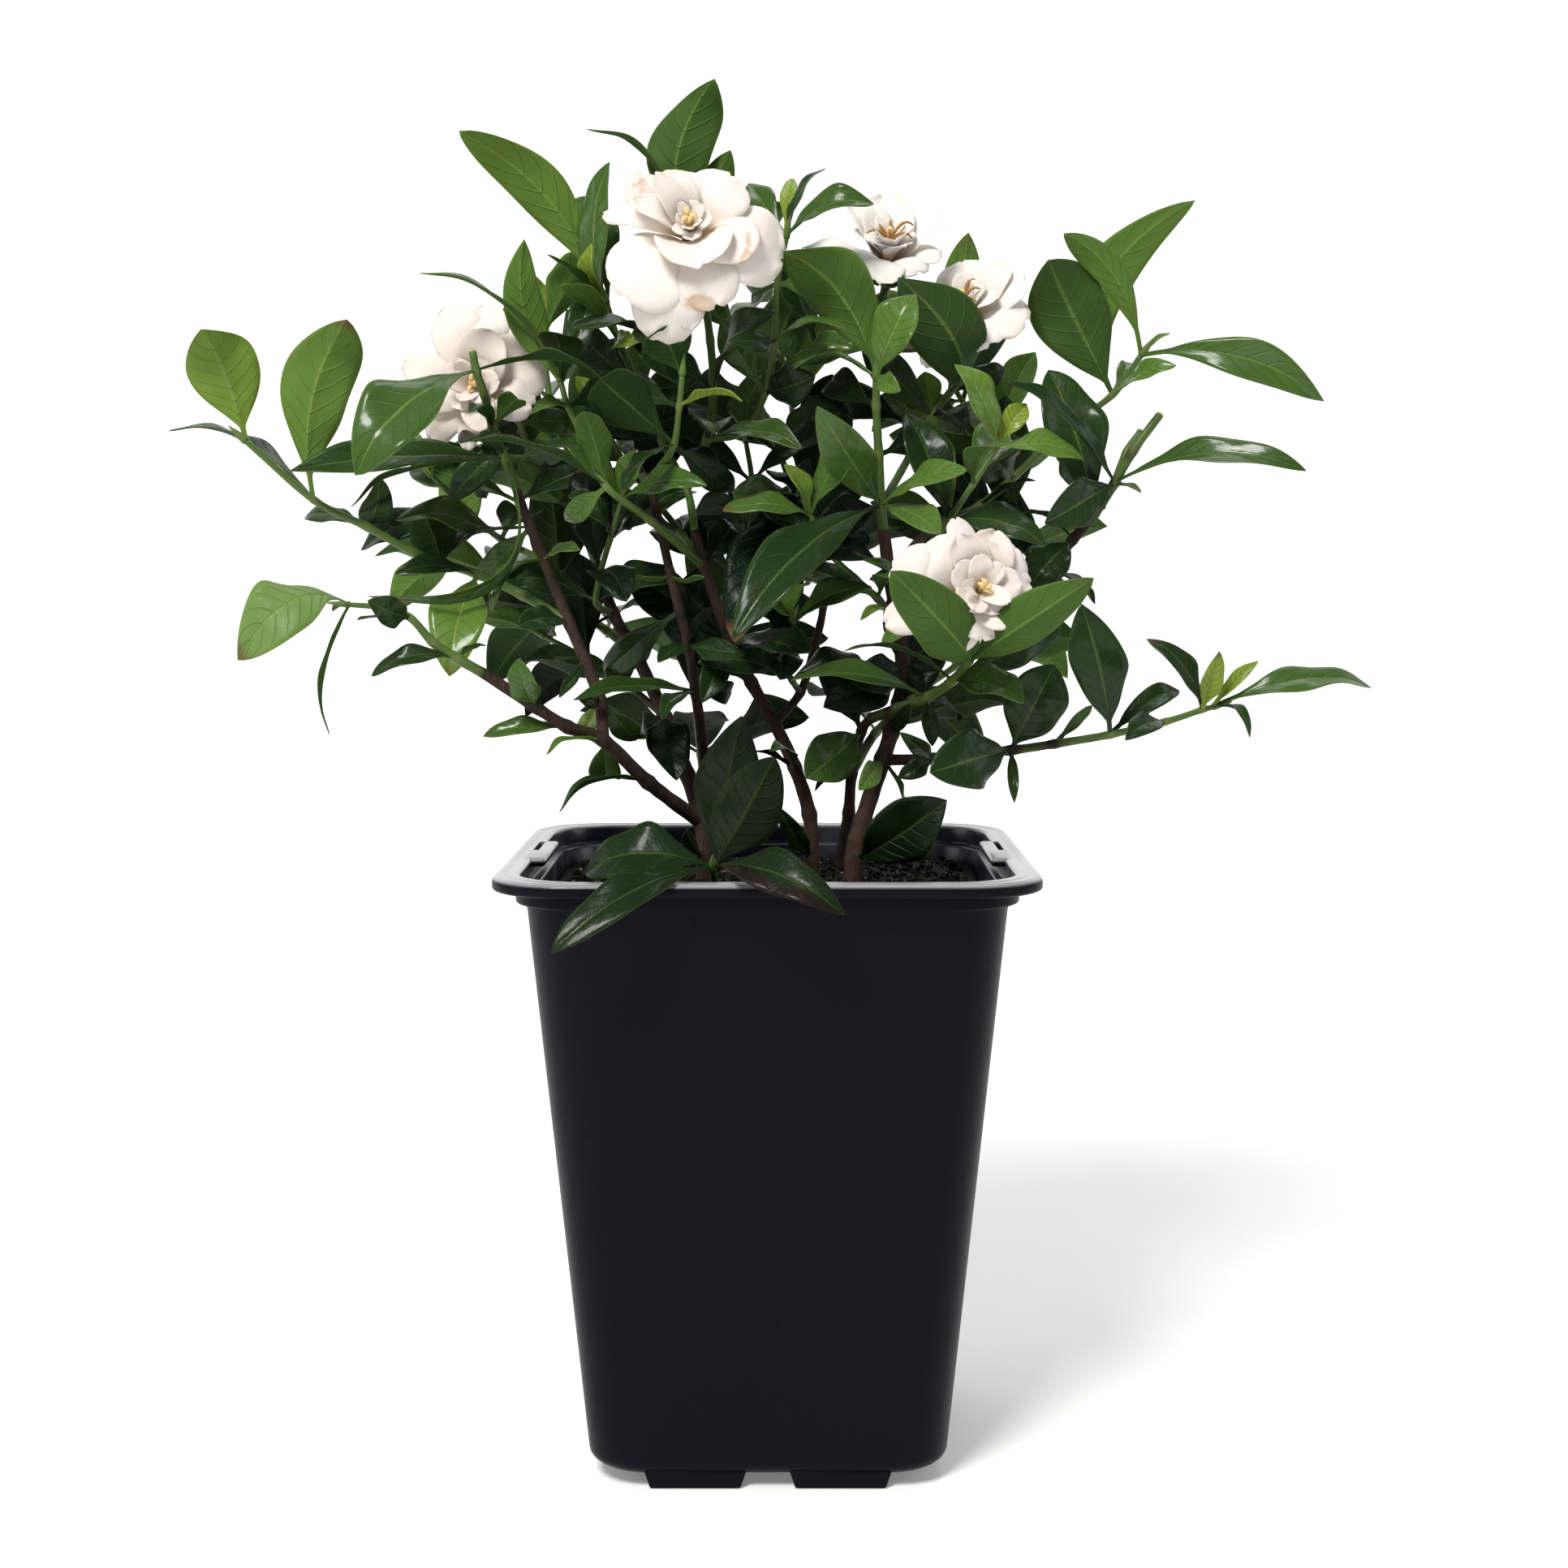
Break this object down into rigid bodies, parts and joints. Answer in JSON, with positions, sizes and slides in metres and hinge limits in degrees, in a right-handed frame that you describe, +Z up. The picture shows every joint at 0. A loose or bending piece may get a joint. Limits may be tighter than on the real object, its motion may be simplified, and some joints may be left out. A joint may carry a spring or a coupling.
{
  "type": "potted gardenia",
  "caption": "Flowering gardenia shrub with glossy leaves on branching stems, growing in a square tapered black nursery pot of soil.",
  "frame": {"origin": "middle of the pot's footprint, on the surface that its feet stand on", "axes": "+Z up, -Y towards the side of the shrub that shows most of its flowers, +X to the right seen from there"},
  "size_m": [0.409, 0.2131, 0.466],
  "materials": {
    "pot_plastic": "satin",
    "soil": "matte",
    "leaf": "satin",
    "bark": "matte",
    "petal": "satin"
  },
  "bodies": {
    "root": {"back_centre_top": "leaf", "back_left_low": "leaf", "back_left_top": "leaf", "back_middle": "leaf", "back_middle_low": "leaf", "back_right": "leaf", "back_right_low": "leaf", "back_right_top": "leaf", "branch_long_right": "leaf", "branch_low_left": "leaf", "branch_right_top": "leaf", "branch_right_up": "leaf", "flower_left": "petal", "flower_low": "petal", "flower_middle": "petal", "flower_right": "petal", "flower_top": "petal", "pot": "pot_plastic", "shoot_centre_low": "leaf", "shoot_centre_right": "leaf", "shoot_far_left": "leaf", "shoot_flower_back": "leaf", "shoot_flower_left": "leaf", "shoot_flower_middle": "leaf", "shoot_flower_right": "leaf", "shoot_flower_top": "leaf", "shoot_left_low": "leaf", "shoot_left_mid": "leaf", "shoot_low_front": "leaf", "shoot_top_left": "leaf", "shoot_top_middle": "leaf", "soil": "soil", "stem_centre": "leaf", "stem_left_rise": "leaf", "stem_middle_right": "leaf", "stub_left": "leaf", "stub_right_short": "bark", "trunk_back_right": "leaf", "trunk_left": "leaf", "trunk_middle": "leaf", "trunk_right": "leaf", "twig_centre": "leaf", "twig_centre_left": "leaf", "twig_far_left": "leaf", "twig_flower_top": "leaf", "twig_left": "leaf", "twig_left_low": "leaf", "twig_left_middle": "leaf", "twig_low_middle": "leaf", "twig_right": "leaf", "twig_right_low": "leaf", "twig_right_up": "leaf", "twig_top_middle": "leaf"}
  },
  "joints": []
}
